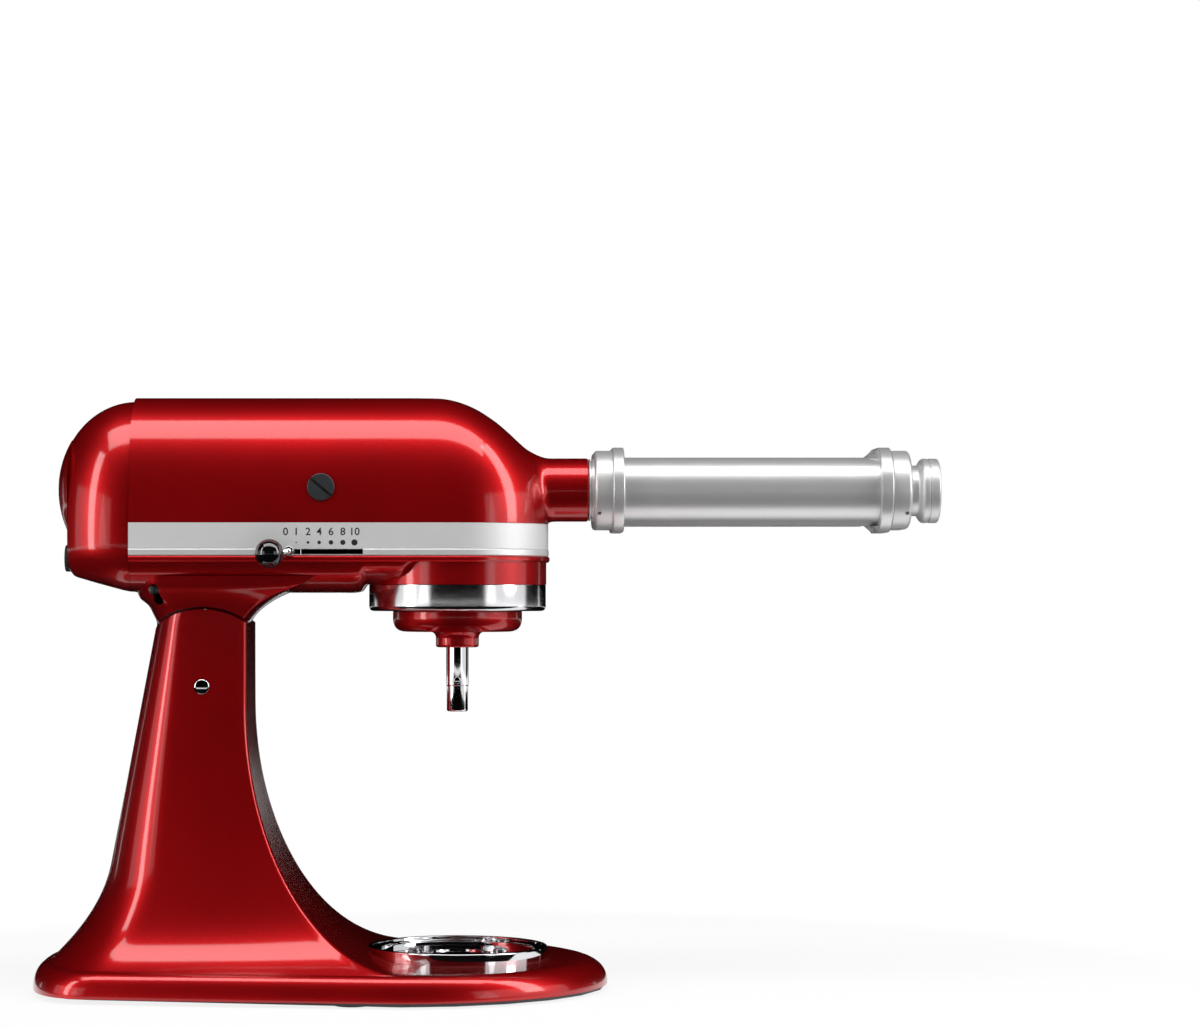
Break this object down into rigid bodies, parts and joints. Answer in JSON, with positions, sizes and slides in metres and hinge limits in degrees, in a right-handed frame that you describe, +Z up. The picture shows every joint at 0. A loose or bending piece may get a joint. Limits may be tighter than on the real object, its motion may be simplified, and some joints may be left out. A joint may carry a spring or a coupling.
{
  "type": "pasta roller machine",
  "caption": "Tilt-head stand machine with a motor head, planetary drive and a removable pasta roller unit with adjustable gap in its front hub.",
  "frame": {"origin": "middle of the whole length and width, on the table", "axes": "+X from the heel of the stand to the adjustment knob, +Z up, +Y to the far side where the tilt lock is"},
  "size_m": [0.5422, 0.22, 0.353],
  "materials": {
    "red_lacquer": "candy metallic gloss",
    "brushed_band": "brushed",
    "polished_chrome": "polished",
    "satin_aluminium": "satin",
    "brushed_steel": "brushed",
    "machined_steel": "turned",
    "bearing_bronze": "turned",
    "copper_bars": "turned",
    "laminations": "lacquered",
    "cast_zinc": "as cast",
    "black_knob": "gloss",
    "dark_phenolic": "moulded",
    "grey_nylon": "moulded",
    "foot_rubber": "moulded",
    "base_plate_steel": "satin grey"
  },
  "bodies": {
    "root": {"pedestal": "red_lacquer", "bottom_plate": "base_plate_steel", "base_feet": "foot_rubber", "plate_screws": "machined_steel", "bowl_clamp_ring": "polished_chrome", "bowl_clamp_plate": "polished_chrome", "clamp_screws": "machined_steel", "hinge_pin": "polished_chrome"},
    "head": {"upper_housing": "red_lacquer", "lower_housing": "red_lacquer", "rear_cover": "red_lacquer", "rear_cover_screw": "machined_steel", "trim_band": "brushed_band", "drip_ring": "polished_chrome", "ring_gear": "machined_steel", "hinge_bushes": "bearing_bronze", "brush_caps": "dark_phenolic", "carbon_brushes": "dark_phenolic", "motor_stator": "laminations", "motor_brackets": "cast_zinc", "armature_bearings": "machined_steel", "planet_bush": "bearing_bronze", "worm_wheel_bushes": "bearing_bronze", "hub_sleeve": "machined_steel", "cord_gland": "foot_rubber"},
    "tilt_lock": {"lock_bolt": "machined_steel", "lock_knob": "black_knob"},
    "speed_control": {"speed_lever": "polished_chrome", "speed_knob": "black_knob"},
    "planetary": {"planet_shaft": "machined_steel", "centre_gear": "machined_steel", "planetary_carrier": "red_lacquer"},
    "beater_drive": {"beater_shaft": "polished_chrome", "planet_pinion": "machined_steel"},
    "worm_wheel_group": {"worm_wheel": "bearing_bronze"},
    "armature": {"armature_shaft": "machined_steel", "armature_core": "laminations", "commutator": "copper_bars", "motor_fan": "grey_nylon"},
    "hub_drive": {"hub_bevel_gear": "machined_steel"},
    "thumb_screw": {"hub_thumb_screw": "polished_chrome"},
    "roller_unit": {"unit_shank": "satin_aluminium", "left_end_cap": "satin_aluminium", "left_end_plate": "brushed_steel", "front_casing": "brushed_steel", "rear_casing": "brushed_steel", "right_end_plate": "brushed_steel", "right_end_cap": "satin_aluminium", "scrapers": "brushed_steel", "tie_rods": "machined_steel", "cap_screws": "machined_steel", "roller_bushes": "bearing_bronze"},
    "driven_roller_group": {"driven_roller": "polished_chrome", "driven_roller_gear": "machined_steel"},
    "idler_slide": {"idler_carrier": "bearing_bronze"},
    "idler_roller_group": {"idler_roller": "polished_chrome", "idler_roller_gear": "machined_steel"},
    "gap_adjuster": {"adjuster_shaft": "machined_steel"},
    "gap_knob": {"adjust_knob": "brushed_steel"}
  },
  "joints": [
    {"name": "head_tilt", "type": "hinge", "parent": "root", "child": "head", "pos_m": [-0.1691, 0, 0.181], "axis": [0, -1, 0], "range_deg": [0, 45]},
    {"name": "lock_slide", "type": "slide", "parent": "head", "child": "tilt_lock", "axis": [0.4695, 0, -0.8829], "range_m": [0, 0.006]},
    {"name": "speed_slide", "type": "slide", "parent": "head", "child": "speed_control", "axis": [1, 0, 0], "range_m": [0, 0.04]},
    {"name": "planet_spin", "type": "hinge", "parent": "head", "child": "planetary", "pos_m": [-0.0191, 0, 0.22], "axis": [0, 0, 1], "continuous": true},
    {"name": "beater_spin", "type": "hinge", "parent": "planetary", "child": "beater_drive", "pos_m": [-0.0191, -0.024, 0.19], "axis": [0, 0, 1], "continuous": true},
    {"name": "worm_wheel_spin", "type": "hinge", "parent": "head", "child": "worm_wheel_group", "pos_m": [-0.0611, 0.02475, 0.28], "axis": [0, 0, 1], "continuous": true},
    {"name": "armature_spin", "type": "hinge", "parent": "head", "child": "armature", "pos_m": [-0.1391, 0, 0.298], "axis": [1, 0, 0], "continuous": true},
    {"name": "hub_drive_spin", "type": "hinge", "parent": "head", "child": "hub_drive", "pos_m": [0.0159, 0, 0.298], "axis": [1, 0, 0], "continuous": true},
    {"name": "thumb_screw_turn", "type": "hinge", "parent": "head", "child": "thumb_screw", "pos_m": [0.0469, 0.026, 0.298], "axis": [0, 1, 0], "range_deg": [0, 720]},
    {"name": "unit_slide", "type": "slide", "parent": "head", "child": "roller_unit", "axis": [1, 0, 0], "range_m": [0, 0.06]},
    {"name": "driven_roller_spin", "type": "hinge", "parent": "roller_unit", "child": "driven_roller_group", "pos_m": [0.1509, 0, 0.298], "axis": [1, 0, 0], "continuous": true},
    {"name": "gap_adjust", "type": "hinge", "parent": "roller_unit", "child": "gap_adjuster", "pos_m": [0.2429, 0.01395, 0.298], "axis": [1, 0, 0], "range_deg": [0, 180]},
    {"name": "gap_slide", "type": "slide", "parent": "roller_unit", "child": "idler_slide", "axis": [0, -1, 0], "range_m": [0, 0.0024]},
    {"name": "idler_roller_spin", "type": "hinge", "parent": "idler_slide", "child": "idler_roller_group", "pos_m": [0.1509, 0.0291, 0.298], "axis": [1, 0, 0], "continuous": true},
    {"name": "knob_pull", "type": "slide", "parent": "gap_adjuster", "child": "gap_knob", "axis": [1, 0, 0], "range_m": [0, 0.004], "stiffness_N_per_m": 600, "springref_m": -0.001}
  ],
  "couplings": [
    {"joint": "beater_spin", "follows": "planet_spin", "ratio": -3.6667},
    {"joint": "worm_wheel_spin", "follows": "planet_spin", "ratio": -3.3333},
    {"joint": "armature_spin", "follows": "planet_spin", "ratio": 27.778},
    {"joint": "hub_drive_spin", "follows": "planet_spin", "ratio": 1.5},
    {"joint": "driven_roller_spin", "follows": "planet_spin", "ratio": 1.5},
    {"joint": "idler_roller_spin", "follows": "planet_spin", "ratio": -1.5},
    {"joint": "gap_adjust", "follows": "gap_slide", "rad_per_m": 1309}
  ]
}
